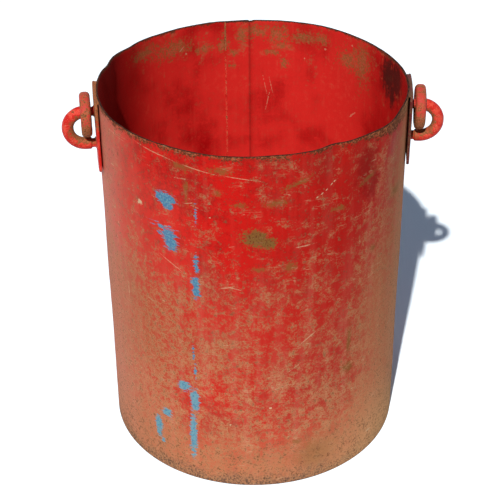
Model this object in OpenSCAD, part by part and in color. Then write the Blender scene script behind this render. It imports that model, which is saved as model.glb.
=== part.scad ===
// Fire bucket: a rolled steel shell with a joggled lap seam, a welded-in bottom,
// and on each side a lug plate with a staple and a loose ring.
// The mouth faces +Z, the ears lie along X and the seam is at the back, +Y.

/* [Shell] */
// Outer diameter of the rolled shell
shell_d = 240; // [210:1:280]
// Height of the shell from its lower edge to the rim
shell_h = 304; // [220:1:400]
// Thickness of the shell sheet
shell_t = 1.6; // [1.2:0.1:2.4]

/* [Lap seam] */
// Length of the overlap, measured along the wall
lap_w = 20; // [10:1:32]
// Length of the bend that sets the inner end in behind the outer one
joggle_w = 3.2; // [2:0.2:6]
// Turn of the lap's outer edge from +X, seen from above
lap_turn = 89; // [70:1:100]
// Width of the groove that the outer edge leaves in the shell
groove_w = 1; // [0.6:0.1:1.6]
// Depth of that groove
groove_d = 0.6; // [0.3:0.1:0.9]
// Width of the weld along the lap's inner edge
seam_weld_w = 2; // [1.2:0.1:3]
// Gap between that weld and the two faces it joins
seam_weld_clear = 0.03; // [0.01:0.01:0.1]

/* [Bottom] */
// Thickness of the bottom plate
bottom_t = 2; // [1.2:0.1:4]
// Height of the skirt that the shell forms under the bottom plate
skirt_h = 8; // [5:0.5:16]
// Leg of the weld under the bottom plate
base_weld_w = 3; // [1.5:0.5:4.5]
// Gap between the bottom plate and the shell
bottom_clear = 0.1; // [0.05:0.05:0.5]

/* [Lug plates] */
// Width of a lug plate round the shell
lug_w = 46; // [32:1:64]
// Height of a lug plate
lug_h = 58; // [48:1:72]
// Thickness of a lug plate
lug_t = 2.2; // [1.6:0.1:4]
// Radius that a lug plate is bent to, flatter than the shell
lug_bend_r = 280; // [180:10:500]
// Radius of a lug plate's corners
lug_corner_r = 4; // [2:0.5:8]
// Turn of each ear forward of the X axis
lug_turn = 5.7; // [0:0.1:12]
// Gap between a lug plate and the shell at the line where they meet
lug_seat = 0.1; // [0.05:0.05:0.5]
// Width of the flush weld that joins a lug plate to the rim
rim_weld_w = 2.6; // [2:0.1:3.4]
// Depth of that weld
rim_weld_d = 2; // [1.2:0.1:3]
// Length of that weld round the rim
rim_weld_l = 40; // [20:1:44]
// Part of that weld's width that lies on the shell's own edge
rim_weld_bite = 0.8; // [0.5:0.1:1.1]
// Gap between that weld and the faces it joins
rim_weld_clear = 0.05; // [0.02:0.01:0.1]

/* [Staples] */
// Diameter of a staple's bar
staple_d = 9.5; // [7:0.1:10.5]
// Bend radius of a staple, to the middle of the bar
staple_bend_r = 13.4; // [13.2:0.1:16]
// Distance from a lug plate's face to the centre of the bend
staple_reach = 7.6; // [6.8:0.1:16]
// Distance from the rim down to the middle of a staple
staple_drop = 29.3; // [27.5:0.1:34]
// Diameter of the turned necks at a staple's two ends
neck_d = 7.2; // [5:0.1:8.5]
// Length of a neck between the lug plate's face and the full bar
neck_l = 3.6; // [2.4:0.1:5.6]
// Gap between a neck and its hole
neck_clear = 0.05; // [0.02:0.01:0.2]
// Width of the weld collar round each neck
collar_w = 1.3; // [0.6:0.1:2]

/* [Rings] */
// Outer diameter of a ring
ring_d = 35; // [34:0.1:36]
// Diameter of a ring's eye
ring_eye = 15; // [12.6:0.1:15.6]
// Width of a ring across its edge
ring_w = 8.5; // [5:0.1:9.2]
// Distance from a lug plate's face to the middle plane of a ring
ring_stand = 6.4; // [6:0.1:7.6]
// Gap between a ring and the bar that it hangs on
ring_clear = 0.3; // [0.2:0.05:0.6]

/* [Hidden] */

$fn = 96;
cut = 1;
shell_r = shell_d / 2;
bore_r = shell_r - shell_t;
lap_r = bore_r - shell_t;
lap_angle = deg_of(lap_w, shell_r);
joggle_angle = deg_of(joggle_w, shell_r);
lap_end = lap_turn + lap_angle;
floor_z = skirt_h + bottom_t;
plate_back = shell_r + lug_seat;
plate_face = plate_back + lug_t;
bend_x = plate_face + staple_reach;
staple_z = shell_h - staple_drop;
bar_z = staple_z + staple_bend_r;
shoulder_x = plate_face + neck_l;
ring_x = plate_face + ring_stand;
ring_z = bar_z - (ring_eye - staple_d) / 2 + ring_clear;
left_turn = 180 + lug_turn;
right_turn = -lug_turn;

// Angle that a length along a circle takes up
function deg_of(length, radius) = length / radius * 180 / PI;
// Point at a radius and an angle
function polar(radius, angle) = [radius * cos(angle), radius * sin(angle)];

module tube(outer, inner, height) {
    difference() {
        cylinder(r = outer, h = height);
        translate([0, 0, -cut]) cylinder(r = inner, h = height + 2 * cut);
    }
}

// The doubled stretch of wall, with its slanted joggle
module lap_band(height) {
    outline = [
        polar(shell_r, lap_turn - joggle_angle),
        polar(lap_r - cut, lap_turn),
        polar(lap_r - cut, lap_end),
        polar(shell_r, lap_end)
    ];
    intersection() {
        tube(shell_r - shell_t / 2, lap_r, height);
        linear_extrude(height) polygon(outline);
    }
}

// Groove down the outside, open outwards
module lap_groove() {
    side = deg_of(groove_w / 2, shell_r);
    outline = [
        polar(shell_r - groove_d, lap_turn),
        polar(shell_r + cut, lap_turn + side * (1 + cut / groove_d)),
        polar(shell_r + cut, lap_turn - side * (1 + cut / groove_d))
    ];
    translate([0, 0, -cut]) linear_extrude(shell_h + 2 * cut) polygon(outline);
}

// Wedge round the rim where a lug plate meets it, drawn in by a gap on every side
module rim_wedge(gap, above) {
    slope = rim_weld_w / 2 / rim_weld_d;
    depth = rim_weld_d - gap / slope;
    side = (depth + above) * slope;
    middle = shell_r - rim_weld_bite + rim_weld_w / 2;
    span = deg_of(rim_weld_l - 2 * gap, shell_r);
    outline = [
        [middle, shell_h - depth],
        [middle + side, shell_h + above],
        [middle - side, shell_h + above]
    ];
    rotate([0, 0, -span / 2]) rotate_extrude(angle = span) polygon(outline);
}

// Notch for the weld between the rim and a lug plate
module rim_notch() {
    rim_wedge(0, cut);
}

// That weld, flush with the rim
module rim_weld() {
    rim_wedge(rim_weld_clear, 0);
}

// Outline of a lug plate, flat, with rounded corners
module lug_outline() {
    side = lug_w / 2 - lug_corner_r;
    for (y = [-side, side], z = [lug_corner_r, lug_h - lug_corner_r])
        translate([y, z]) circle(r = lug_corner_r);
    translate([-side, 0]) square([2 * side, lug_h]);
    translate([-lug_w / 2, lug_corner_r]) square([lug_w, lug_h - 2 * lug_corner_r]);
}

// Places the heights of a staple's two legs
module at_legs() {
    for (z = [bar_z, staple_z - staple_bend_r]) translate([0, 0, z]) children();
}

// Bar along X between two places
module bar_x(from, to, diameter) {
    translate([from, 0, 0]) rotate([0, 90, 0]) cylinder(d = diameter, h = to - from);
}

module lug_plate() {
    difference() {
        intersection() {
            translate([plate_back - lug_bend_r, 0, shell_h - lug_h])
                tube(lug_bend_r + lug_t, lug_bend_r, lug_h);
            translate([plate_back - lug_w, 0, shell_h - lug_h])
                rotate([90, 0, 90]) linear_extrude(2 * lug_w) lug_outline();
        }
        at_legs() bar_x(plate_back - cut, plate_face + cut, neck_d + 2 * neck_clear);
        rim_notch();
    }
}

module staple() {
    translate([bend_x, 0, staple_z]) rotate([90, 0, 0]) rotate([0, 0, -90])
        rotate_extrude(angle = 180) translate([staple_bend_r, 0]) circle(d = staple_d);
    at_legs() {
        bar_x(shoulder_x, bend_x, staple_d);
        bar_x(plate_back, shoulder_x, neck_d);
        translate([plate_face, 0, 0]) rotate([0, 90, 0])
            cylinder(d1 = neck_d + 2 * collar_w, d2 = neck_d, h = collar_w);
    }
}

module ring() {
    inner = ring_eye / 2 + ring_w / 2;
    outer = ring_d / 2 - ring_w / 2;
    translate([ring_x, 0, ring_z]) rotate([0, 90, 0]) rotate_extrude() {
        translate([inner, 0]) circle(d = ring_w);
        translate([outer, 0]) circle(d = ring_w);
        translate([inner, -ring_w / 2]) square([outer - inner, ring_w]);
    }
}

module body_shell() {
    color("firebrick") difference() {
        union() {
            tube(shell_r, bore_r, shell_h);
            lap_band(shell_h);
        }
        lap_groove();
        for (turn = [left_turn, right_turn]) rotate([0, 0, turn]) rim_notch();
    }
}

module seam_weld() {
    foot_r = bore_r - seam_weld_clear;
    start = lap_end + deg_of(seam_weld_clear, lap_r);
    outline = [
        polar(foot_r, start),
        polar(foot_r, start + deg_of(seam_weld_w, foot_r)),
        polar(lap_r, start)
    ];
    color("saddlebrown") translate([0, 0, floor_z])
        linear_extrude(shell_h - floor_z) polygon(outline);
}

module bottom_plate() {
    color("maroon") translate([0, 0, skirt_h]) difference() {
        cylinder(r = bore_r - bottom_clear, h = bottom_t);
        translate([0, 0, -cut]) lap_band(bottom_t + 2 * cut);
    }
}

module base_weld() {
    outline = [
        [bore_r, skirt_h],
        [bore_r - base_weld_w, skirt_h],
        [bore_r, skirt_h - base_weld_w]
    ];
    color("dimgray") difference() {
        rotate_extrude() polygon(outline);
        lap_band(shell_h);
    }
}

module left_lug_plate() {
    color("crimson") rotate([0, 0, left_turn]) lug_plate();
}

module left_rim_weld() {
    color("peru") rotate([0, 0, left_turn]) rim_weld();
}

module left_staple() {
    color("red") rotate([0, 0, left_turn]) staple();
}

module left_ring() {
    color("indianred") rotate([0, 0, left_turn]) ring();
}

module right_lug_plate() {
    color("crimson") rotate([0, 0, right_turn]) lug_plate();
}

module right_rim_weld() {
    color("peru") rotate([0, 0, right_turn]) rim_weld();
}

module right_staple() {
    color("red") rotate([0, 0, right_turn]) staple();
}

module right_ring() {
    color("indianred") rotate([0, 0, right_turn]) ring();
}

body_shell();
seam_weld();
bottom_plate();
base_weld();
left_lug_plate();
left_rim_weld();
left_staple();
left_ring();
right_lug_plate();
right_rim_weld();
right_staple();
right_ring();
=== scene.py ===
import math

import bmesh
import bpy
from mathutils import Matrix, Vector, noise


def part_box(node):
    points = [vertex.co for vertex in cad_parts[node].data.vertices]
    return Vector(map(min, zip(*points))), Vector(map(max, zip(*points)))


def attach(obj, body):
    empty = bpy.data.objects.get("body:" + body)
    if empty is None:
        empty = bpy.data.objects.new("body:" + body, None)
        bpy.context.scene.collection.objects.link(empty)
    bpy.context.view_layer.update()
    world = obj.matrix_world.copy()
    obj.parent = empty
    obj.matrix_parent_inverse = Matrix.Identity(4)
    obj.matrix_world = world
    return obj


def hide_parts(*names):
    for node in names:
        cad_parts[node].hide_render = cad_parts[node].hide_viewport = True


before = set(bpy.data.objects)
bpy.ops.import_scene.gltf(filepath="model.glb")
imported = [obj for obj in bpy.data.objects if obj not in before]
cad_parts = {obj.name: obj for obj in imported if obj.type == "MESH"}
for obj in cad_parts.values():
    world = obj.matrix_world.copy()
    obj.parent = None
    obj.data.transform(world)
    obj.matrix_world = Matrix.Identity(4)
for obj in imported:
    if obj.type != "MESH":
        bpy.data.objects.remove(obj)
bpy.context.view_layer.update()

mm = 0.001
scene = bpy.context.scene
shellLow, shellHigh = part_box("body_shell")
shellRadius = (shellHigh.y - shellLow.y) / 2 / mm
shellHeight = shellHigh.z / mm
print("frame: shell", round(shellRadius * 2), "mm across,", round(shellHeight), "mm high")

# camera, from the outline of the bucket in the photograph
view = dict(
    place=(-0.0375, -0.9339, 0.7515),
    aim=(0, 0, 0.1503),
    lens=96.57,
    sensor=36,
    roll=-0.31,
    shift=(-0.00704, 0.00042),
    clip=(0.05, 50),
)


def makeCamera():
    data = bpy.data.cameras.new("camera")
    data.lens = view["lens"]
    data.sensor_width = view["sensor"]
    data.shift_x, data.shift_y = view["shift"]
    data.clip_start, data.clip_end = view["clip"]
    camera = bpy.data.objects.new("camera", data)
    look = Vector(view["aim"]) - Vector(view["place"])
    turn = look.to_track_quat("-Z", "Y").to_matrix().to_4x4()
    roll = Matrix.Rotation(math.radians(view["roll"]), 4, "Z")
    camera.matrix_world = Matrix.Translation(view["place"]) @ turn @ roll
    scene.collection.objects.link(camera)
    scene.camera = camera


# light: a small bright source up behind the camera on the left, with two weak ones at the back
light = dict(
    key=dict(travel=(0.2566, 0.9895, -1), strength=4, width=1.1, colour=(1, 0.985, 0.96)),
    fill=dict(strength=0.27, width=40, colour=(0.86, 0.94, 1)),
    fillTravels=[(0.8, -0.6, -0.3), (-0.8, -0.6, -0.3)],
    sky=(0.066, 0.09, 0.13),
)


def makeLamp(name, travel, strength, width, colour):
    data = bpy.data.lights.new(name, "SUN")
    data.energy = strength
    data.angle = math.radians(width)
    data.color = colour
    made = bpy.data.objects.new(name, data)
    made.rotation_mode = "QUATERNION"
    made.rotation_quaternion = Vector(travel).to_track_quat("-Z", "Y")
    scene.collection.objects.link(made)


# a socket that takes part in arithmetic
class Wire:
    def __init__(self, net, socket):
        self.net = net
        self.socket = socket

    def pair(self, operation, first, second):
        kinds = [v.socket.type if isinstance(v, Wire) else type(v) for v in (first, second)]
        wide = any(kind in ("VECTOR", "RGBA", tuple) for kind in kinds)
        kind = "ShaderNodeVectorMath" if wide else "ShaderNodeMath"
        return self.net.node(kind, {"operation": operation}, {0: first, 1: second})

    def __add__(self, other):
        return self.pair("ADD", self, other)

    def __radd__(self, other):
        return self.pair("ADD", other, self)

    def __sub__(self, other):
        return self.pair("SUBTRACT", self, other)

    def __rsub__(self, other):
        return self.pair("SUBTRACT", other, self)

    def __mul__(self, other):
        return self.pair("MULTIPLY", self, other)

    def __rmul__(self, other):
        return self.pair("MULTIPLY", other, self)


# a node tree under construction
class Net:
    def __init__(self, tree):
        self.tree = tree
        tree.nodes.clear()

    # adds a node with its settings, then the values or links of its sockets
    def node(self, kind, settings=None, values=None, out=0):
        made = self.tree.nodes.new(kind)
        for key, value in (settings or {}).items():
            setattr(made, key, value)
        for key, value in (values or {}).items():
            socket = made.inputs[key]
            if isinstance(value, Wire):
                self.tree.links.new(value.socket, socket)
            elif socket.type == "RGBA":
                socket.default_value = (*value, 1)
            elif socket.type == "VECTOR" and not isinstance(value, tuple):
                socket.default_value = (value, value, value)
            else:
                socket.default_value = value
        return Wire(self, made.outputs[out]) if made.outputs else None

    # several outputs of the node that a wire comes from
    def outputs(self, wire, keys):
        return [Wire(self, wire.socket.node.outputs[key]) for key in keys]

    def split(self, vector):
        return self.outputs(self.node("ShaderNodeSeparateXYZ", {}, {0: vector}), range(3))

    def join(self, *values):
        return self.node("ShaderNodeCombineXYZ", {}, dict(enumerate(values)))

    def length(self, vector):
        return self.node("ShaderNodeVectorMath", {"operation": "LENGTH"}, {0: vector}, 1)

    def maths(self, operation, *values):
        return self.node("ShaderNodeMath", {"operation": operation}, dict(enumerate(values)))

    def most(self, first, second):
        return self.maths("MAXIMUM", first, second)

    def away(self, value, middle):
        return self.maths("ABSOLUTE", value - middle)

    # mixes sockets, values or tints by name
    def mix(self, share, *pair):
        first, second = (tints[v] if isinstance(v, str) else v for v in pair)
        return self.node("ShaderNodeMix", {"data_type": "RGBA"}, {0: share, 6: first, 7: second}, 2)

    # 0 at low, 1 at high, smooth between them
    def fade(self, value, low, high):
        values = {"Value": value, "From Min": low, "From Max": high}
        return self.node("ShaderNodeMapRange", {"interpolation_type": "SMOOTHSTEP"}, values)

    # a part of the wall: the product of its fades
    def zone(self, along, up, spans):
        fades = [self.fade(along, *span) for span in spans["along"]]
        fades += [self.fade(up, *span) for span in spans.get("up", [])]
        found = fades[0]
        for more in fades[1:]:
            found = found * more
        return found

    # noise with features of about that size in millimetres, moved by its seed
    def grain(self, place, size, seed, stretch=(1, 1, 1), detail=3, rough=0.55, coloured=False):
        values = {0: place, 1: stretch, 2: (seed * 31.7, seed * 17.3, seed * 23.9)}
        moved = self.node("ShaderNodeVectorMath", {"operation": "MULTIPLY_ADD"}, values)
        values = {"Vector": moved, "Scale": 1 / size, "Detail": detail, "Roughness": rough}
        return self.node("ShaderNodeTexNoise", {}, values, 1 if coloured else 0)

    # distance to the nearest spot, 1 on its edge, from groups of lean, stretch and spots
    def nearest(self, place, groups):
        found = None
        for lean, stretch, spots in groups:
            turn = math.radians(lean)
            values = {"Vector": place, "Rotation": (0, 0, turn), "Scale": (stretch, 1, 1)}
            local = self.node("ShaderNodeMapping", {"vector_type": "TEXTURE"}, values)
            for across, up, half in spots:
                spot = Matrix.Rotation(-turn, 2) @ Vector((across, up))
                ends = {0: local, 1: (spot.x / stretch, spot.y, 0)}
                distance = self.node("ShaderNodeVectorMath", {"operation": "DISTANCE"}, ends, 1)
                distance = distance * (1 / half)
                found = distance if found is None else self.maths("MINIMUM", found, distance)
        return found

    # one kind of mark, its edge frayed by noises with their reach
    def marks(self, place, groups, edge, *frays):
        distance = self.nearest(place, groups)
        for grain, reach in frays:
            distance = distance + (grain - 0.5) * reach
        return self.fade(distance, *edge)

    # ends the tree in a Principled shader
    def finish(self, colour, rough, height, look):
        strength, distance = look["relief"]
        values = {"Strength": strength, "Distance": distance * mm, "Height": height}
        shader = self.node("ShaderNodeBsdfPrincipled", {}, {
            "Base Color": colour,
            "Roughness": rough,
            "Specular IOR Level": look["gloss"],
            "IOR": look["bend"],
            "Normal": self.node("ShaderNodeBump", {}, values),
        })
        self.node("ShaderNodeOutputMaterial", {}, {"Surface": shader})


def startMaterial(name):
    material = bpy.data.materials.new(name)
    material.use_nodes = True
    return material, Net(material.node_tree)


# place on the piece in millimetres
def placeOf(net):
    return net.node("ShaderNodeTexCoord", out="Object") * (1 / mm)


# place on the wall: along it from the front or the back, and up
def wallPlace(net, place, facing):
    across, depth, up = net.split(place)
    along = net.maths("ARCTAN2", across, depth * facing) * shellRadius
    return along, up, net.join(along, up)


# sRGB values from 0 to 255 to the linear values that a shader takes
def rgb(*values):
    return tuple(((v / 255 + 0.055) / 1.055) ** 2.4 if v > 10 else v / 255 / 12.92 for v in values)


# colours that the finishes share
tints = dict(
    red=(202, 26, 21),
    faded=(174, 66, 52),
    freshRed=(206, 38, 33),
    forgedRed=(190, 32, 26),
    pinkRed=(188, 60, 52),
    shadeMauve=(90, 57, 50),
    plateShadeRed=(92, 34, 31),
    deepRed=(158, 6, 10),
    shadeRed=(158, 22, 16),
    deepShade=(132, 16, 11),
    wine=(84, 4, 5),
    paleRed=(222, 78, 60),
    film=(160, 98, 64),
    ochre=(192, 134, 94),
    olive=(118, 88, 44),
    umber=(78, 46, 28),
    grime=(84, 70, 62),
    clay=(164, 122, 88),
    tan=(200, 138, 98),
    straw=(218, 168, 118),
    cutBrown=(88, 48, 34),
    cutDark=(48, 26, 19),
    bare=(206, 176, 140),
    blue=(38, 122, 158),
    paleBlue=(98, 158, 172),
    dustAndSheen=(214, 142, 118),
    sootAndShadow=(40, 26, 22),
)
tints = {name: rgb(*values) for name, values in tints.items()}

# the worn edge where the sheet was cut
cutEdge = dict(
    patch=5, speck=0.9, speckCover=0.65, roughness=0.62, gloss=0.05, bend=1.5, relief=(0.4, 1)
)


def cutEdgeMaterial():
    material, net = startMaterial("cut_edge")
    place = placeOf(net)
    patches = net.fade(net.grain(place, cutEdge["patch"], 3, detail=6, rough=0.7), 0.42, 0.6)
    specks = net.fade(net.grain(place, cutEdge["speck"], 4), 0.46, 0.62)
    colour = net.mix(patches, "cutDark", "cutBrown")
    colour = net.mix(specks * cutEdge["speckCover"], colour, "sootAndShadow")
    net.finish(colour, cutEdge["roughness"] + specks * 0.15, specks + patches, cutEdge)
    return material


# the outside of the shell. A zone is where its fades overlap, along the wall from the front and
# up it. Marks are in groups: lean, stretch, then each one's place along, height and half width
outside = dict(
    grains=dict(
        broad=dict(size=50, seed=1, detail=2),
        patchy=dict(size=12, seed=2, detail=9, rough=0.7),
        scaly=dict(size=4.5, seed=3, detail=6, rough=0.75),
        fine=dict(size=1.5, seed=4, detail=4, rough=0.7),
        wobble=dict(size=5, seed=7, detail=5, rough=0.65, coloured=True),
        wipes=dict(size=7, seed=10, stretch=(1, 1, 0.07)),
        drag=dict(size=1.5, seed=8, stretch=(0.22, 1, 1), rough=0.6),
        hair=dict(size=9, seed=9, stretch=(0.1, 0.1, 1.6), detail=2),
    ),
    zones=dict(
        # painted shade over the right flank
        rightShade=dict(along=[(-70, 85), (290, 190)], up=[(35, 115)]),
        right=dict(along=[(65, 135), (240, 155)], up=[(330, 245)]),
        left=dict(along=[(-35, -118), (-245, -160)], up=[(290, 110)]),
        middle=dict(along=[(5, -60), (-130, -90)], up=[(240, 145), (85, 120)]),
        paleLeft=dict(along=[(-55, -120), (-280, -180)], up=[(150, 200)]),
        # pale dust with painted sheen on the left flank, and below on the right
        dustSheenLeft=dict(along=[(-85, -160), (-235, -170)]),
        haze=dict(along=[(-35, -78), (-118, -88)], up=[(165, 205), (290, 262)]),
        dustSheenRight=dict(along=[(65, 130), (220, 160)], up=[(240, 110)]),
        rimRight=dict(along=[(70, 120), (240, 180)]),
        mudLow=dict(along=[(15, 150), (260, 160)], up=[(90, 0)]),
        mudEdge=dict(along=[(122, 150), (210, 165)]),
    ),
    # what adds to the share that the brown film covers
    filmShare=dict(all=0.262, broad=0.5, low=0.23, foot=0.2, right=0.46, left=0.34, middle=0.12),
    # how much each layer hides
    cover=dict(
        rightShade=0.8, paleLeft=0.4, wipes=0.13, haze=0.07, rimShade=0.75, pits=0.6, brown=0.7, olive=0.92,
        rimWear=0.9, grit=0.36, foot=0.8, mudEdge=0.4, blue=0.9, scratch=0.6, hair=0.4, bare=0.85,
    ),
    warp=(2.2, 1.6, 0.6),  # of most marks, the blue and the bare ones
    roughness=0.5,
    gloss=0.12,
    bend=1.22,
    relief=(0.4, 0.6),
    blue=[
        (0, 1.15, [
            (-75, 262, 4), (-70.5, 260.5, 5.4), (-70, 257, 4.4), (-70.5, 230.5, 5.7),
            (-68.5, 223, 5), (-80, 58, 4), (-62, 92, 4.6), (-85, 27, 2),
        ]),
        (90, 3, [(-49, 189, 3.2), (-53, 80, 3.5), (-89, 41, 3.5)]),
        (90, 7, [(-55, 45, 3)]),
    ],
    faintBlue=[
        (90, 7, [(-48, 209, 1.7), (-47, 254, 1.2), (-53, 128, 1), (-52, 110, 1)]),
        (0, 4, [(-77, 236, 2.4)]),
    ],
    olive=[(0, 1.3, [(-3, 237, 7), (5, 233, 5)])],
    # painted shade under the bent rim
    rimShade=[(84, 2.2, [(86, 277, 9), (93, 262, 6)])],
    brown=[
        (0, 1.2, [
            (22, 210, 4), (-30, 274, 2.6), (46, 25, 13), (75, 100, 4.5), (30, 42, 3), (97, 203, 3),
        ]),
        (0, 2.8, [
            (-57, 291, 2.5), (-28, 292, 2.8), (12, 266, 2.8), (-14, 265, 1.8), (-1, 210, 2),
            (60, 252, 2), (130, 238, 4),
        ]),
        (22, 5, [(26, 280, 2), (88, 268, 2)]),
        (90, 6, [(-54, 272, 1.7), (75, 128, 2)]),
    ],
    bare=[
        (0, 1.3, [(-97, 249, 2), (8, 80, 0.8), (-24, 62, 0.7), (-36, 253, 0.6)]),
        (0, 3, [(104, 19, 0.9)]),
        (34, 3, [(42, 266, 0.4), (46, 268, 0.4), (50, 270, 0.45), (54, 273, 0.4), (57, 275, 0.4)]),
    ],
    scratches=[
        (4, 11, [(-57, 281, 0.5), (33, 227, 0.6), (-134, 265, 0.5)]),
        (-9, 45, [(-79, 296, 0.36), (-45, 291, 0.36), (-14, 287, 0.3)]),
        (-28, 32, [(-69, 206, 0.34)]),
        (36, 16, [(38, 144, 0.5), (26, 117, 0.4)]),
        (90, 14, [(-128, 214, 0.55), (-132, 199, 0.45), (-118, 160, 0.55)]),
        (14, 9, [(-26, 193, 0.5), (-52, 262, 0.45)]),
        (-14, 10, [(-19, 193, 0.5), (-44, 259, 0.5)]),
    ],
)


def outsideMaterial():
    material, net = startMaterial("shell_outside")
    place = placeOf(net)
    along, up, flat = wallPlace(net, place, -1)
    cover = outside["cover"]

    def grain(name, where=place):
        return net.grain(where, **outside["grains"][name])

    def zone(name):
        return net.zone(along, up, outside["zones"][name])

    broad, patchy, scaly, fine = map(grain, ("broad", "patchy", "scaly", "fine"))
    wobble = grain("wobble") - (0.5, 0.5, 0.5)
    warped, blueWarped, bareWarped = (flat + wobble * reach for reach in outside["warp"])

    # clean paint: deeper in places, scuffed pale in others, painted shade on the right flank
    deeper = net.fade(broad + (scaly - 0.5) * 1.1, 0.38, 0.72)
    colour = net.mix(deeper, "red", "deepRed")
    # painted shade that darkens the right flank
    rightShade = zone("rightShade")
    colour = net.mix(rightShade * cover["rightShade"], colour, "shadeRed")
    scuffed = net.fade(scaly * 0.5 + fine * 0.5, 0.52, 0.66)
    colour = net.mix(scuffed * (0.42 - rightShade * 0.12), colour, "paleRed")

    # share of the wall that the brown film covers
    add = outside["filmShare"]
    low = net.fade(up, 250, 115) * add["low"] + net.fade(up, 70, 10) * add["foot"]
    share = zone("right") * add["right"] + zone("left") * add["left"] + low
    share = share + zone("middle") * add["middle"] + (broad - 0.5) * add["broad"] + add["all"]

    # faded paint, then the film, more yellow towards the foot
    faded = net.most(net.fade(share, 0.2, 0.62), zone("paleLeft") * cover["paleLeft"])
    colour = net.mix(faded * (0.58 + scuffed * 0.35), colour, "faded")
    mottle = patchy * 0.42 + scaly * 0.33 + fine * 0.25
    film = net.fade(mottle + (share - 0.5) * 0.3, 0.43, 0.58)
    yellow = net.fade(scaly * 0.5 + fine * 0.5 + net.fade(up, 170, 10) * 0.09, 0.45, 0.6)
    thick = net.fade(scaly + (fine - 0.5) * 0.8, 0.4, 0.58)
    filmTint = net.mix(yellow, "film", "ochre")
    colour = net.mix(film * (0.46 + thick * 0.4), colour, filmTint)

    # faint wipes and haze, dust with painted sheen on the flanks, painted shade under the bent rim
    wipes = net.fade(grain("wipes"), 0.46, 0.68) * net.fade(share, 0.1, 0.6)
    colour = net.mix(wipes * cover["wipes"], colour, "dustAndSheen")
    # painted sheen, mixed with pale dust, on the left flank and on the right
    colour = net.mix(zone("dustSheenLeft") * (0.33 + scaly * 0.5), colour, "dustAndSheen")
    colour = net.mix(zone("haze") * cover["haze"], colour, "dustAndSheen")
    colour = net.mix(zone("dustSheenRight") * (0.25 + scaly * 0.5), colour, "tan")
    # painted shade in the hollow under the bent rim
    rimShade = net.marks(warped, outside["rimShade"], (1.5, 0.4), (scaly, 3))
    colour = net.mix(rimShade * cover["rimShade"], colour, "deepShade")

    # dark specks of rust, closer where the film is thick
    pits = net.fade(fine + (scaly - 0.5) * 0.7 + share * 0.07, 0.6, 0.7)
    colour = net.mix(pits * cover["pits"], colour, "umber")

    # single brown and olive marks
    brown = net.marks(warped, outside["brown"], (1.3, 0.3), (scaly, 5), (fine, 5))
    brownTint = net.mix(pits, "olive", "umber")
    colour = net.mix(brown * cover["brown"], colour, brownTint)
    olive = net.marks(warped, outside["olive"], (1.2, 0.75), (scaly, 3), (fine, 3))
    oliveTint = net.mix(net.fade(fine, 0.5, 0.62), "olive", "umber")
    colour = net.mix(olive * cover["olive"], colour, oliveTint)

    # wear along the rim, more of it on the right
    ragged = up + (patchy - 0.5) * 20 + (fine - 0.5) * 14 + zone("rimRight") * 7
    rimWear = net.fade(ragged, shellHeight - 4, shellHeight - 1)
    rimTint = net.mix(net.fade(fine, 0.4, 0.53), "film", "umber")
    colour = net.mix(rimWear * cover["rimWear"], colour, rimTint)

    # grit and dirt along the lower edge, dry mud low on the right and along its edge
    raggedFoot = up + (patchy - 0.5) * 50 + (scaly - 0.5) * 30
    spots = net.fade(fine * 0.5 + scaly * 0.5, 0.46, 0.6)
    grit = net.fade(raggedFoot, 62, 18)
    gritTint = net.mix(spots, "ochre", "umber")
    colour = net.mix(grit * cover["grit"], colour, gritTint)
    foot = net.fade(raggedFoot, 17, 2)
    footTint = net.mix(net.fade(fine, 0.46, 0.56), "clay", "grime")
    colour = net.mix(foot * cover["foot"], colour, footTint)
    mud = net.most(zone("mudLow"), zone("mudEdge") * cover["mudEdge"])
    colour = net.mix(mud * (0.85 - spots * 0.6), colour, "straw")

    # smears of blue paint, dragged sideways
    drag = grain("drag", warped)
    blue = net.marks(blueWarped, outside["blue"], (1.2, 0.85), (drag, 3))
    faint = net.marks(blueWarped, outside["faintBlue"], (0.8, 0.5), (drag, 6))
    paler = net.fade(fine + net.fade(up, 130, 90) * 0.1, 0.45, 0.65)
    blueTint = net.mix(paler, "blue", "paleBlue")
    colour = net.mix(net.most(blue, faint) * cover["blue"], colour, blueTint)

    # scratches and chips down to a pale undercoat
    bare = net.marks(bareWarped, outside["bare"], (1.1, 0.7), (fine, 3.5))
    scratch = net.marks(bareWarped, outside["scratches"], (1.1, 0.7), (fine, 3.5))
    scratch = scratch * net.fade(patchy, 0.36, 0.54) * cover["scratch"]
    hair = net.fade(net.away(grain("hair"), 0.5), 0.008, 0.002)
    hair = hair * net.fade(patchy, 0.5, 0.6) * cover["hair"]
    bareAll = net.most(bare, net.most(scratch, hair))
    colour = net.mix(bareAll * cover["bare"], colour, "bare")

    dirt = net.most(foot, rimWear)
    rough = outside["roughness"] + film * 0.2 + (fine - 0.5) * 0.3 + dirt * 0.15
    relief = fine * 0.5 + scaly * 0.6 + film * 0.12 - bareAll * 0.4 - pits * 0.3
    net.finish(colour, rough, relief, outside)
    return material


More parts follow.
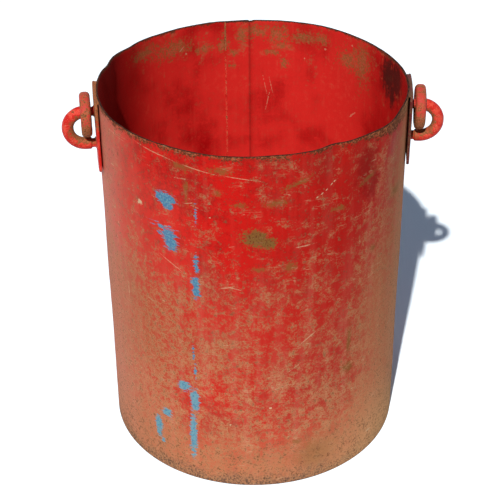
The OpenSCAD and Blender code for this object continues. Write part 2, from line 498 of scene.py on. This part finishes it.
# the inside of the shell, in the same terms, but from the back
inside = dict(
    grains=dict(
        broad=dict(size=45, seed=11, detail=2),
        patchy=dict(size=16, seed=12, detail=9, rough=0.7),
        scaly=dict(size=4.5, seed=17, detail=6, rough=0.75),
        fine=dict(size=1.5, seed=13, detail=4, rough=0.7),
        streak=dict(size=2.4, seed=15, stretch=(1, 1, 0.04), detail=5),
        wobble=dict(size=6, seed=16, detail=5, rough=0.65, coloured=True),
    ),
    zones=dict(
        # painted shadow on the left of the inside
        shade=dict(along=[(-78, -122), (-280, -180)]),
        deepShadow=dict(along=[(-112, -150), (-260, -180)]),
    ),
    cover=dict(
        pale=0.28, sides=0.6, shade=0.42, deepShadow=0.5, haze=0.6, brown=0.72, stain=0.88, rimWear=0.85,
        silt=0.8, bare=0.36,
    ),
    warp=(7, 0.6),
    lapStep=2.2,
    roughness=0.46,
    gloss=0.2,
    bend=1.35,
    relief=(0.35, 0.6),
    brown=[
        (0, 2.6, [
            (-95, 292, 5), (-66, 287, 6.5), (-38, 281, 3), (10, 294, 5), (20, 275, 2.5),
            (30, 281, 2.5), (50, 291, 4.5),
        ]),
        (0, 1.1, [
            (-12, 275, 2.3), (-12, 264, 2.4), (33, 266, 3.5), (66, 292, 5), (92, 281, 8),
            (27, 292, 7),
        ]),
        (90, 1.8, [(-21, 284, 4), (-4, 293, 3.5), (110, 284, 9)]),
    ],
    stain=[(90, 1.4, [(148, 287, 11), (162, 290, 11)]), (90, 2.2, [(155, 275, 5)])],
    bare=[
        (0, 1.1, [(69, 284, 1), (50, 272, 0.8), (97, 295, 1), (91, 300, 0.7), (-54, 280, 1)]),
        (45, 6, [(100, 233, 0.7), (-58, 285, 0.5)]),
        (78, 24, [(18, 230, 0.38)]),
        (102, 24, [(16, 243, 0.38), (21, 244, 0.35)]),
    ],
)


def insideMaterial():
    material, net = startMaterial("shell_inside")
    place = placeOf(net)
    along, up, flat = wallPlace(net, place, 1)
    cover = inside["cover"]
    grains = [net.grain(place, **settings) for settings in inside["grains"].values()]
    broad, patchy, scaly, fine, streak, wobble = grains
    wobble = wobble - (0.5, 0.5, 0.5)
    warped, bareWarped = (flat + wobble * reach for reach in inside["warp"])

    # paint, paler in streaks, painted shade on both sides and painted shadow on the left
    deeper = net.fade(broad + (scaly - 0.5) * 0.5, 0.45, 0.75)
    colour = net.mix(deeper, "freshRed", "deepRed")
    pale = net.fade(streak * 0.25 + scaly * 0.75, 0.48, 0.66)
    colour = net.mix(pale * cover["pale"], colour, "paleRed")
    sides = net.fade(net.away(along, 8), 90, 150)
    colour = net.mix(sides * cover["sides"], colour, "deepRed")
    # painted shadow over the left of the inside, wine red and near black further left
    for name, tint in (("shade", "wine"), ("deepShadow", "sootAndShadow")):
        zone = net.zone(along, up, inside["zones"][name])
        colour = net.mix(zone * cover[name], colour, tint)

    # dirt that settled under the rim, in flecks, but not on the shaded left
    upper = net.fade(up, 215, 295)
    haze = net.fade(patchy * 0.5 + scaly * 0.5 + upper * 0.05, 0.57, 0.66) * (upper * 0.8 + 0.2)
    kept = net.most(net.fade(along, -125, -70), net.fade(along, -180, -260))
    colour = net.mix(haze * kept * cover["haze"], colour, "film")

    # brown marks, a dark stain, and wear along the rim
    brown = net.marks(warped, inside["brown"], (1.35, 0.4), (scaly, 6), (fine, 5))
    brownTint = net.mix(net.fade(fine, 0.42, 0.58), "olive", "film")
    colour = net.mix(brown * cover["brown"], colour, brownTint)
    stain = net.marks(warped, inside["stain"], (1.6, 0.5), (scaly, 2.5), (streak, 1.2))
    colour = net.mix(stain * cover["stain"], colour, "sootAndShadow")
    ragged = up + (patchy - 0.5) * 10 + (fine - 0.5) * 8
    rimWear = net.fade(ragged, shellHeight - 2, shellHeight - 0.5)
    colour = net.mix(rimWear * cover["rimWear"], colour, "umber")

    # painted shade in the step of the lap, rust and silt that water left near the bottom
    # painted shade along the lap's step
    lapShade = net.fade(net.away(along, inside["lapStep"]), 1.5, 0.2)
    colour = net.mix(lapShade * (0.12 + fine * 0.4), colour, "sootAndShadow")
    silt = net.fade(up + (patchy - 0.5) * 60 + (fine - 0.5) * 14, 52, 12)
    siltTint = net.mix(net.fade(fine, 0.42, 0.58), "grime", "ochre")
    colour = net.mix(silt * cover["silt"], colour, siltTint)

    # chips and scratches
    bare = net.marks(bareWarped, inside["bare"], (1, 0.6), (fine, 4))
    colour = net.mix(bare * cover["bare"], colour, "bare")

    rough = inside["roughness"] + (fine - 0.5) * 0.25 + brown * 0.2 + silt * 0.25
    relief = fine * 0.4 + scaly * 0.5 + streak * 0.2 - brown * 0.2
    net.finish(colour, rough, relief, inside)
    return material


# chipped paint over rust on the small pieces: amount is how much has gone everywhere, and worn
# adds to it by height or by distance from the staples' bend: kind, from, to, weight
forged = dict(
    seam=dict(
        name="seam_paint", seed=41, amount=-0.02, size=7,
        worn=[("height", 262, 285, 0.12)],
    ),
    weld=dict(name="weld_paint", seed=44, amount=0.02, size=4),
    leftPlate=dict(
        name="left_plate_paint", seed=51, amount=-0.06, size=9,
        worn=[("height", 279, 290, 0.2)],
    ),
    # the right plate: a darker copy of the plate paint, painted shade
    rightPlate=dict(
        name="right_plate_shaded_paint", seed=54, paint="plateShadeRed", rust="shadeMauve", amount=0.02, size=9,
        pale="shadeMauve",
    ),
    staple=dict(
        name="staple_paint", seed=61, amount=-0.06, size=6,
        worn=[("bend", 15, 10, 0.18)],
    ),
    ring=dict(
        name="ring_paint", seed=71, paint="pinkRed", amount=0.04, size=7,
        worn=[("height", 288, 272, 0.17)],
    ),
    bottom=dict(
        name="bottom_paint", seed=81, paint="deepRed", rust="grime", amount=0.06, size=16,
        roughness=0.6,
    ),
)
forgedFinish = dict(fine=1.1, speck=0.7, coarse=0.68, gloss=0.2, bend=1.35, relief=(0.5, 0.8))


def wearPlace(net, place, kind):
    across, depth, up = net.split(place)
    if kind == "height":
        return up
    outwards = net.length(net.join(across, depth)) - (plateFace + ear["bendReach"])
    return net.length(net.join(net.most(outwards, 0), up - stapleHeight))


def forgedMaterial(
    name, seed, amount, size, paint="forgedRed", rust="film", pale="paleRed", roughness=0.5, worn=()
):
    material, net = startMaterial(name)
    place = placeOf(net)
    coarse = forgedFinish["coarse"]
    patchy = net.grain(place, size, seed, detail=7, rough=coarse)
    fine = net.grain(place, forgedFinish["fine"], seed + 1, detail=4, rough=coarse)
    speck = net.grain(place, forgedFinish["speck"], seed + 2, detail=2)
    gone = patchy * 0.6 + fine * 0.4 + amount
    for kind, start, end, weight in worn:
        ragged = wearPlace(net, place, kind) + (patchy - 0.5) * 30
        gone = gone + net.fade(ragged, start, end) * weight
    bare = net.fade(gone, 0.5, 0.6)
    scuffed = net.fade(patchy + (fine - 0.5) * 0.6, 0.42, 0.62)
    colour = net.mix(scuffed, paint, pale)
    rustTint = net.mix(net.fade(fine, 0.44, 0.58), rust, "olive")
    colour = net.mix(bare * 0.88, colour, rustTint)
    pits = net.fade(fine + (patchy - 0.5) * 0.5 + bare * 0.05, 0.6, 0.7)
    colour = net.mix(pits * 0.7, colour, "umber")
    flecks = net.fade(speck + (fine - 0.5) * 0.6, 0.67, 0.75)
    colour = net.mix(flecks * 0.7, colour, "bare")
    rough = roughness + bare * 0.2 + (fine - 0.5) * 0.25
    relief = fine * 0.6 + patchy * 0.6 - pits * 0.5 - flecks * 0.3
    net.finish(colour, rough, relief, forgedFinish)
    return material


# builds an object from points in millimetres, with its faces turned outwards
sharpTurn = 38  # degrees


def makePiece(name, points, faces, materials, kinds=None):
    mesh = bpy.data.meshes.new(name)
    mesh.from_pydata([Vector(p) * mm for p in points], [], faces)
    for material in materials:
        mesh.materials.append(material)
    if kinds:
        mesh.polygons.foreach_set("material_index", kinds)
    work = bmesh.new()
    work.from_mesh(mesh)
    bmesh.ops.remove_doubles(work, verts=work.verts, dist=0.00001 * mm)
    bmesh.ops.recalc_face_normals(work, faces=work.faces)
    work.to_mesh(mesh)
    work.free()
    mesh.polygons.foreach_set("use_smooth", [True] * len(mesh.polygons))
    mesh.set_sharp_from_angle(angle=math.radians(sharpTurn))
    piece = bpy.data.objects.new(name, mesh)
    scene.collection.objects.link(piece)
    return piece


# rows of points, each closed on itself and joined to the next, and the last one to the first
def closedRows(rows, count=None):
    columns = len(rows[0])
    faces = []
    for i in range(count or len(rows)):
        k = (i + 1) % len(rows)
        for j in range(columns):
            n = (j + 1) % columns
            faces.append((i * columns + j, k * columns + j, k * columns + n, i * columns + n))
    return [point for row in rows for point in row], faces


# rows joined end to end, with the two ends closed by fans
def cappedRows(rows):
    columns = len(rows[0])
    points, faces = closedRows(rows, len(rows) - 1)
    for start in (0, (len(rows) - 1) * columns):
        ring = points[start:start + columns]
        points.append(sum((Vector(p) for p in ring), Vector()) / columns)
        for j in range(columns):
            faces.append((start + j, start + (j + 1) % columns, len(points) - 1))
    return points, faces


def bell(value, middle, width):
    return math.exp(-(((value - middle) / width) ** 2))


def polar(radius, degrees, height):
    turn = math.radians(degrees)
    return Vector((radius * math.cos(turn), radius * math.sin(turn), height))


def turnBetween(first, second):
    return (first - second + 180) % 360 - 180


# two noises at a spot, one finer
def twoNoises(spot, depth, finer, fineDepth):
    return depth * noise.noise(spot) + fineDepth * noise.noise(spot * finer)


# the shell: angles are seen from above, from +X
shell = dict(
    sheet=1.6,
    lapTurn=89,
    lapWidth=20,
    joggle=3.2,
    groove=(1.0, 0.6),
    edgeRound=0.35,
    columns=450,
    levels=92,
    # slow unevenness of the wall and the rim: waves round it, and the noise's settings
    wallWaves=dict(round=2.2, tall=60, depths=(0.5, 5, 0.12)),
    rimWaves=dict(round=6, level=3, depths=(0.35, 4, 0.12), reach=12),
    # nick in the rim at the lap: depth, shift and half width in degrees
    nick=(0.9, 0.6, 0.7),
    # the wall stays true at the ears: share, half width in degrees, height, reach; and at the foot
    earCalm=(0.95, 13, 280, 45),
    footCalm=(4, 22),
    # places where the rim is bent: angle, half width in degrees, shift outwards, reach down
    rimBends=[
        (27, 13, -1.0, 60), (61, 14, 1.7, 70), (144, 3, -0.5, 30), (153.5, 5, 1.3, 45),
        (163, 3.5, -1.2, 40), (205, 9, 0.8, 50), (236, 2.5, -0.6, 25), (255, 12, 1.4, 60),
        (297, 5, -3.2, 38), (322, 8, 2.2, 50),
    ],
    # shallow dents: angle, height, half width, half height, shift outwards
    dents=[
        (240, 118, 40, 55, -0.9), (285, 190, 32, 28, -0.8), (262, 62, 24, 30, -0.7),
        (310, 96, 30, 50, -0.8), (225, 220, 22, 22, 0.5), (330, 180, 30, 36, 0.5),
        (100, 140, 34, 44, -0.9), (60, 80, 28, 30, -0.7), (140, 200, 26, 34, -0.6),
        (20, 120, 30, 40, -0.6), (160, 70, 26, 28, -0.7), (275, 20, 16, 12, -0.7),
    ],
)
boreRadius = shellRadius - shell["sheet"]
lapRadius = boreRadius - shell["sheet"]
lapEnd = shell["lapTurn"] + math.degrees(shell["lapWidth"] / shellRadius)
joggleStart = shell["lapTurn"] - math.degrees(shell["joggle"] / shellRadius)
grooveSide = math.degrees(shell["groove"][0] / 2 / shellRadius)
earTurn = 5.7
earAngles = dict(left=180 + earTurn, right=-earTurn)


# how far the wall is pushed out of its circle
def wallShift(angle, height):
    shift = 0
    for turn, width, depth, reach in shell["rimBends"]:
        shift += depth * bell(turnBetween(angle, turn), 0, width) * bell(height, shellHeight, reach)
    for turn, middle, width, tall, depth in shell["dents"]:
        away = math.radians(turnBetween(angle, turn)) * shellRadius
        shift += depth * bell(away, 0, width) * bell(height, middle, tall)
    waves = shell["wallWaves"]
    shift += twoNoises(polar(waves["round"], angle, height / waves["tall"]), *waves["depths"])
    share, width, middle, reach = shell["earCalm"]
    for turn in earAngles.values():
        calm = share * bell(turnBetween(angle, turn), 0, width) * bell(height, middle, reach)
        shift *= 1 - calm
    start, reach = shell["footCalm"]
    return shift * min(1, (height - start) / reach) if height > start else 0


def rimRise(angle):
    waves = shell["rimWaves"]
    rise = twoNoises(polar(waves["round"], angle, waves["level"]), *waves["depths"])
    depth, shift, width = shell["nick"]
    return rise - depth * bell(turnBetween(angle, shell["lapTurn"] - shift), 0, width)


def outerRadius(angle):
    off = abs(turnBetween(angle, shell["lapTurn"]))
    return shellRadius - shell["groove"][1] * max(0, 1 - off / grooveSide)


def innerRadius(angle, afterStep=False):
    lapTurn = shell["lapTurn"]
    if joggleStart < angle < lapTurn:
        return boreRadius - shell["sheet"] * (angle - joggleStart) / (lapTurn - joggleStart)
    if lapTurn <= angle <= lapEnd and not afterStep:
        return lapRadius
    return boreRadius


# angles of the shell's rows: evenly spaced, with the corners of the lap among them
def shellAngles():
    lapTurn = shell["lapTurn"]
    corners = [joggleStart, lapTurn - grooveSide, lapTurn, lapTurn + grooveSide, lapEnd, lapEnd]
    step = 360 / shell["columns"]
    regular = [i * step for i in range(shell["columns"])]
    clear = [a for a in regular if all(abs(a - corner) > step * 0.4 for corner in corners)]
    return sorted(clear + corners)


# the sheet's section: up the outside, over the rim, down the inside, under the foot
def shellProfile(outer, inner):
    soft = shell["edgeRound"]
    diagonal = soft * (1 - math.sqrt(0.5))
    count = shell["levels"]
    heights = [soft + (shellHeight - 2 * soft) * i / count for i in range(count + 1)]
    profile = [(outer, h) for h in heights]
    profile += [(outer - diagonal, shellHeight - diagonal), (outer - soft, shellHeight)]
    profile += [(inner + soft, shellHeight), (inner + diagonal, shellHeight - diagonal)]
    profile += [(inner, h) for h in reversed(heights)]
    profile += [(inner + diagonal, diagonal), (inner + soft, 0)]
    profile += [(outer - soft, 0), (outer - diagonal, diagonal)]
    return profile


def makeShell(materials):
    rows, seenStep = [], False
    for angle in shellAngles():
        # two rows stand at the lap's end, before and after its step
        afterStep = seenStep and angle == lapEnd
        seenStep = seenStep or angle == lapEnd
        rise = rimRise(angle)
        row = []
        for radius, height in shellProfile(outerRadius(angle), innerRadius(angle, afterStep)):
            lift = rise * bell(height, shellHeight, shell["rimWaves"]["reach"])
            row.append(polar(radius + wallShift(angle, height), angle, height + lift))
        rows.append(row)
    columns = len(rows[0])
    innerStart = shell["levels"] + 5
    innerFaces = range(innerStart, innerStart + shell["levels"])
    kinds = [0 if j <= shell["levels"] else 1 if j in innerFaces else 2 for j in range(columns)]
    piece = makePiece("shell", *closedRows(rows), materials, kinds * len(rows))
    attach(piece, "bucket")
    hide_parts("body_shell")
    print("shell:", len(rows) * columns, "points")


# a hand-laid bead: sections along a path, swollen by ripples and noise, thin at the ends
bead = dict(sides=10, ripple=0.16, swell=0.3, swellLength=5, endStart=0.35, endStep=0.3)


def beadRows(path, across, up, width, height, ripple, seed):
    rows = []
    travelled = 0
    for i, centre in enumerate(path):
        if i:
            travelled += (centre - path[i - 1]).length
        uneven = bead["swell"] * noise.noise(Vector((travelled / bead["swellLength"], seed, 0)))
        swell = 1 + bead["ripple"] * abs(math.sin(travelled / ripple * math.pi)) + uneven
        swell *= min(1, bead["endStart"] + min(i, len(path) - 1 - i) * bead["endStep"])
        row = []
        for k in range(bead["sides"]):
            turn = 2 * math.pi * k / bead["sides"]
            sideways = across[i] * math.cos(turn) * width * swell
            row.append(centre + sideways + up[i] * math.sin(turn) * height * swell)
        rows.append(row)
    return rows


# weld down the lap's inner edge
seamWeld = dict(
    width=1.05, height=0.8, ripple=2.6, step=0.9, bottom=10.2, underRim=0.4, pastLap=0.5,
    intoWall=0.45, wander=0.25, wanderLength=9, seed=1,
)


def makeSeamWeld(material):
    bottomHeight = seamWeld["bottom"]
    count = int((shellHeight - bottomHeight) / seamWeld["step"])
    path, across, up = [], [], []
    middle = lapEnd + math.degrees(seamWeld["pastLap"] / boreRadius)
    for i in range(count + 1):
        height = bottomHeight + (shellHeight - seamWeld["underRim"] - bottomHeight) * i / count
        wander = noise.noise(Vector((height / seamWeld["wanderLength"], 3, 1)))
        angle = middle + math.degrees(seamWeld["wander"] * wander / boreRadius)
        radius = boreRadius - seamWeld["intoWall"] + wallShift(angle, height)
        path.append(polar(radius, angle, height))
        across.append(polar(1, angle + 45, 0))
        up.append(polar(1, angle + 135, 0))
    sizes = (seamWeld[key] for key in ("width", "height", "ripple", "seed"))
    rows = beadRows(path, across, up, *sizes)
    piece = makePiece("seam_bead", *cappedRows(rows), [material])
    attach(piece, "bucket")
    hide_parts("seam_weld")


# weld all round under the bottom plate; its section in shares of the leg, inwards and down
baseWeld = dict(
    leg=3, ripple=3.4, rippleDepth=0.1, uneven=0.12, unevenRound=14, overlap=(0.1, 0.2),
    columns=720, plateUnder=8,
    section=[(0, 0), (0, 1), (0.3, 0.82), (0.62, 0.58), (0.85, 0.3), (1, 0)],
)


def makeBaseWeld(material):
    rows = []
    columns, rippleDepth = baseWeld["columns"], baseWeld["rippleDepth"]
    intoWall, intoPlate = baseWeld["overlap"]
    under = baseWeld["plateUnder"] + intoPlate
    for i in range(columns):
        angle = 360 * i / columns
        wall = innerRadius(angle) + intoWall
        ripple = abs(math.sin(i * 2 * math.pi * boreRadius / columns / baseWeld["ripple"]))
        uneven = baseWeld["uneven"] * noise.noise(polar(baseWeld["unevenRound"], angle, 0))
        leg = baseWeld["leg"] * (1 - rippleDepth + rippleDepth * ripple + uneven)
        rows.append([
            polar(wall - leg * inwards, angle, under - leg * down)
            for inwards, down in baseWeld["section"]
        ])
    piece = makePiece("base_bead", *closedRows(rows), [material])
    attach(piece, "bucket")
    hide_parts("base_weld")


# bottom plate, a little sunk and uneven
bottom = dict(
    top=10, thick=2, rings=46, columns=180, sag=0.9, seat=0.15, spacing=0.85,
    waveLength=28, waveDepths=(0.7, 4, 0.2),
)


def makeBottom(material):
    points, faces = [], []
    columns, rings = bottom["columns"], bottom["rings"]
    for base in (bottom["top"], bottom["top"] - bottom["thick"]):
        for i in range(rings):
            share = ((i + 1) / rings) ** bottom["spacing"]
            for j in range(columns):
                angle = 360 * j / columns
                radius = (innerRadius(angle) - bottom["seat"]) * share
                spot = polar(radius / bottom["waveLength"], angle, 0)
                wave = twoNoises(spot, *bottom["waveDepths"])
                height = base - bottom["sag"] * (1 - share ** 4) + wave * (1 - share ** 6)
                points.append(polar(radius, angle, height))
    for side in (0, 1):
        start = side * rings * columns
        points.append(polar(0, 0, bottom["top"] - side * bottom["thick"] - bottom["sag"]))
        centre = len(points) - 1
        for j in range(columns):
            n = (j + 1) % columns
            faces.append((start + j, start + n, centre))
            for i in range(rings - 1):
                a, b = start + i * columns, start + (i + 1) * columns
                faces.append((a + j, b + j, b + n, a + n))
    last, other = (rings - 1) * columns, rings * columns
    for j in range(columns):
        n = (j + 1) % columns
        faces.append((last + j, last + n, last + n + other, last + j + other))
    piece = makePiece("bottom", points, faces, [material])
    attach(piece, "bucket")
    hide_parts("bottom_plate")


# the ear: plate, staple and ring, in its own frame with X outwards
ear = dict(
    plateBack=120.1, plateThick=2.2, plateWidth=46, plateHeight=58, plateBend=450,
    # its corners' radius and steps, and the usual step between them
    plateCorner=4, plateCornerSteps=7, plateStep=2.5,
    # the plate's rows: shares of its outline, then insets and depths round its edge
    plateShares=[0.08, 0.2, 0.32, 0.44, 0.56, 0.68, 0.79, 0.88, 0.95],
    plateEdge=[
        (0.75, 0), (0.3, 0.12), (0.08, 0.4), (0, 0.8), (0, 1.4), (0.08, 1.8), (0.3, 2.08),
        (0.75, 2.2),
    ],
    plateWaves=(0.16, 3, 0.05), plateRagged=0.22,
    # bead at the rim: width, height and ripple; place on the wall and under the rim
    rimBeadLength=40, rimBeadSteps=64, rimBeadSize=(1.25, 0.7, 2.4), rimBeadPlace=(0.5, 0.65),
    stapleMiddle=29.3, bar=9.5, barSides=32, neck=7.2, neckLength=3.6, collar=1.3,
    bendRadius=13.4, bendReach=7.6, bendSteps=40, bendFlat=0.03,
    ringOuter=35, ringEye=15, ringWidth=8.5, ringStand=6.4, ringClear=0.3,
    ringSides=32, ringSteps=96, ringSquare=0.68,
    # scar of the ring's weld: depth, place and half width in degrees
    ringScar=(0.35, 214, 2.2),
)
plateFace = ear["plateBack"] + ear["plateThick"]
stapleHeight = shellHeight - ear["stapleMiddle"]
barHeight = stapleHeight + ear["bendRadius"]


def placedOnEar(side, point):
    return Matrix.Rotation(math.radians(earAngles[side]), 4, "Z") @ Vector(point)


# outline of a plate with round corners, about its middle
def plateOutline():
    halfWidth, halfHeight = ear["plateWidth"] / 2, ear["plateHeight"] / 2
    corner, perCorner = ear["plateCorner"], ear["plateCornerSteps"]
    outline = []
    for quarter, (sy, sz) in enumerate(((1, 1), (-1, 1), (-1, -1), (1, -1))):
        for k in range(perCorner):
            turn = math.radians(90 * quarter + 90 * k / (perCorner - 1))
            outline.append(Vector((
                sy * (halfWidth - corner) + corner * math.cos(turn),
                sz * (halfHeight - corner) + corner * math.sin(turn),
            )))
    filled = []
    for i, start in enumerate(outline):
        end = outline[(i + 1) % len(outline)]
        pieces = max(1, round((end - start).length / ear["plateStep"]))
        filled += [start.lerp(end, k / pieces) for k in range(pieces)]
    return filled


def makePlate(side, material, seed):
    outline = plateOutline()
    halfHeight = ear["plateHeight"] / 2
    shares = ear["plateShares"]
    loops = [(share, 0, 0) for share in shares]
    loops += [(1, inset, depth) for inset, depth in ear["plateEdge"]]
    loops += [(share, 0, ear["plateThick"]) for share in reversed(shares)]

    def bent(across, up, depth):
        depth += twoNoises(Vector((across / 9, up / 9, seed)), *ear["plateWaves"])
        radius = ear["plateBend"] + ear["plateThick"] - depth
        turn = across / ear["plateBend"]
        x = ear["plateBack"] - ear["plateBend"] + radius * math.cos(turn)
        return placedOnEar(side, (x, radius * math.sin(turn), shellHeight - halfHeight + up))

    rows = []
    for share, inset, depth in loops:
        row = []
        for point in outline:
            ragged = noise.noise(Vector((point.x / 5, point.y / 5, seed + 4))) * (share == 1)
            flat = point * share - point.normalized() * (inset + ear["plateRagged"] * ragged)
            row.append(bent(flat.x, min(flat.y, halfHeight), depth))
        rows.append(row)
    piece = makePiece(side + "_plate", *cappedRows(rows), [material])
    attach(piece, "bucket")
    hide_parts(side + "_lug_plate")


# bead that joins the plate's top to the rim
def makeRimBead(side, material, seed):
    half = math.degrees(ear["rimBeadLength"] / 2 / shellRadius)
    count = ear["rimBeadSteps"]
    onWall, underRim = ear["rimBeadPlace"]
    path, across, up = [], [], []
    for i in range(count + 1):
        angle = earAngles[side] - half + 2 * half * i / count
        path.append(polar(shellRadius + onWall, angle, shellHeight - underRim))
        across.append(polar(1, angle, 0))
        up.append(Vector((0, 0, 1)))
    rows = beadRows(path, across, up, *ear["rimBeadSize"], seed)
    piece = makePiece(side + "_rim_bead", *cappedRows(rows), [material])
    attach(piece, "bucket")
    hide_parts(side + "_rim_weld")


# a staple's leg from the neck's end over collar and shoulder to the bar: distance out, radius
def legStations():
    barRadius, neckRadius, collar = ear["bar"] / 2, ear["neck"] / 2, ear["collar"]
    shoulder = plateFace + ear["neckLength"]
    leg = [
        (ear["plateBack"] + 0.3, neckRadius),
        (plateFace - 0.2, neckRadius + collar + 0.1),
        (plateFace + 0.15, neckRadius + collar * 0.85),
        (plateFace + collar * 0.5, neckRadius + 0.35),
        (plateFace + collar, neckRadius),
        (shoulder - 0.5, neckRadius),
        (shoulder - 0.1, barRadius - 0.55),
        (shoulder + 0.25, barRadius - 0.15),
        (shoulder + 0.8, barRadius),
    ]
    out = shoulder + 1.9
    while out < plateFace + ear["bendReach"] - 0.3:
        leg.append((out, barRadius))
        out += 1.1
    return leg


def makeStaple(side, material, seed):
    leg = legStations()
    centre = Vector((plateFace + ear["bendReach"], 0, stapleHeight))
    upwards, sideways = Vector((0, 0, 1)), Vector((0, 1, 0))
    stations = [(Vector((x, 0, barHeight)), upwards, radius) for x, radius in leg]
    for k in range(ear["bendSteps"] + 1):
        turn = math.pi * k / ear["bendSteps"]
        normal = Vector((math.sin(turn), 0, math.cos(turn)))
        radius = ear["bar"] / 2 * (1 - ear["bendFlat"] * math.sin(turn))
        stations.append((centre + normal * ear["bendRadius"], normal, radius))
    low = stapleHeight - ear["bendRadius"]
    stations += [(Vector((x, 0, low)), -upwards, radius) for x, radius in reversed(leg)]
    rows = []
    for spot, normal, radius in stations:
        row = []
        for k in range(ear["barSides"]):
            turn = 2 * math.pi * k / ear["barSides"]
            out = normal * math.cos(turn) + sideways * math.sin(turn)
            point = spot + out * radius
            rough = 0.13 * noise.noise(point / 6 + Vector((seed, 0, 0)))
            rough += 0.05 * noise.noise(point / 1.7)
            row.append(placedOnEar(side, point + out * (rough - 0.05)))
        rows.append(row)
    piece = makePiece(side + "_bar", *cappedRows(rows), [material])
    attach(piece, "bucket")
    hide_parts(side + "_staple")


def makeRing(side, material, seed):
    half = ear["ringWidth"] / 2
    middle = (ear["ringEye"] + ear["ringOuter"]) / 4
    thick = (ear["ringOuter"] - ear["ringEye"]) / 4
    hang = (ear["ringEye"] - ear["bar"]) / 2 - ear["ringClear"]
    centre = Vector((plateFace + ear["ringStand"], 0, barHeight - hang))
    section = []
    for k in range(ear["ringSides"]):
        turn = 2 * math.pi * k / ear["ringSides"]
        # a power below 1 makes the round section squarer
        squared = [
            math.copysign(abs(v) ** ear["ringSquare"], v) for v in (math.cos(turn), math.sin(turn))
        ]
        section.append((middle + thick * squared[0], half * squared[1]))
    scarDepth, scarTurn, scarWidth = ear["ringScar"]
    rows = []
    for i in range(ear["ringSteps"]):
        turn = 2 * math.pi * i / ear["ringSteps"]
        out = Vector((0, math.sin(turn), math.cos(turn)))
        scar = scarDepth * bell(turnBetween(math.degrees(turn), scarTurn), 0, scarWidth)
        row = []
        for radius, along in section:
            local = out * radius + Vector((along, 0, 0))
            rough = 0.14 * noise.noise(local / 6 + Vector((seed, 0, 0)))
            rough += 0.05 * noise.noise(local / 1.8 + Vector((0, seed, 0)))
            away = out * (radius - middle) / thick + Vector((along / half, 0, 0))
            shifted = centre + local + away.normalized() * (rough - scar - 0.1)
            row.append(placedOnEar(side, shifted))
        rows.append(row)
    piece = makePiece(side + "_loop", *closedRows(rows), [material])
    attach(piece, side + "_ring")
    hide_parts(side + "_ring")


# pale floor, white where the light falls on it, and a plain sky round it
floor = dict(half=3.2, toTheEye=(1.1, 1.2, 1.28), toTheLight=(0.55, 0.55, 0.55))


# 1 where the camera sees a thing directly, in a reflection or through glass
def seenDirectly(net):
    names = ("Is Camera Ray", "Is Glossy Ray", "Is Transmission Ray")
    camera, glossy, through = net.outputs(net.node("ShaderNodeLightPath"), names)
    return net.most(net.most(camera, glossy), through)


def makeStage():
    half = floor["half"]
    corners = [(-half, -half, 0), (half, -half, 0), (half, half, 0), (-half, half, 0)]
    mesh = bpy.data.meshes.new("floor")
    mesh.from_pydata(corners, [], [(0, 1, 2, 3)])
    made = bpy.data.objects.new("floor", mesh)
    scene.collection.objects.link(made)
    material, net = startMaterial("floor")
    colour = net.mix(seenDirectly(net), floor["toTheLight"], floor["toTheEye"])
    shader = net.node("ShaderNodeBsdfDiffuse", {}, {"Color": colour})
    net.node("ShaderNodeOutputMaterial", {}, {"Surface": shader})
    mesh.materials.append(material)
    world = bpy.data.worlds.new("sky")
    world.use_nodes = True
    scene.world = world
    net = Net(world.node_tree)
    colour = net.mix(seenDirectly(net), light["sky"], (1, 1, 1))
    shader = net.node("ShaderNodeBackground", {}, {"Color": colour, "Strength": 1})
    net.node("ShaderNodeOutputWorld", {}, {"Surface": shader})


makeCamera()
makeLamp("key", **light["key"])
for number, travel in enumerate(light["fillTravels"]):
    makeLamp("fill" + str(number), travel, **light["fill"])
makeStage()
scene.view_settings.view_transform = "Standard"
print("stage: camera, lamps and floor")

paints = {piece: forgedMaterial(**settings) for piece, settings in forged.items()}
makeShell([outsideMaterial(), insideMaterial(), cutEdgeMaterial()])
makeSeamWeld(paints["seam"])
makeBottom(paints["bottom"])
makeBaseWeld(paints["weld"])
print("shell, seam and bottom done")
for number, side in enumerate(("left", "right")):
    plate = paints[side + "Plate"]
    seed = 2 + number * 5
    makePlate(side, plate, seed)
    makeRimBead(side, plate, seed + 1)
    makeStaple(side, paints["staple"], seed + 2)
    makeRing(side, paints["ring"], seed + 3)
print("ears done")
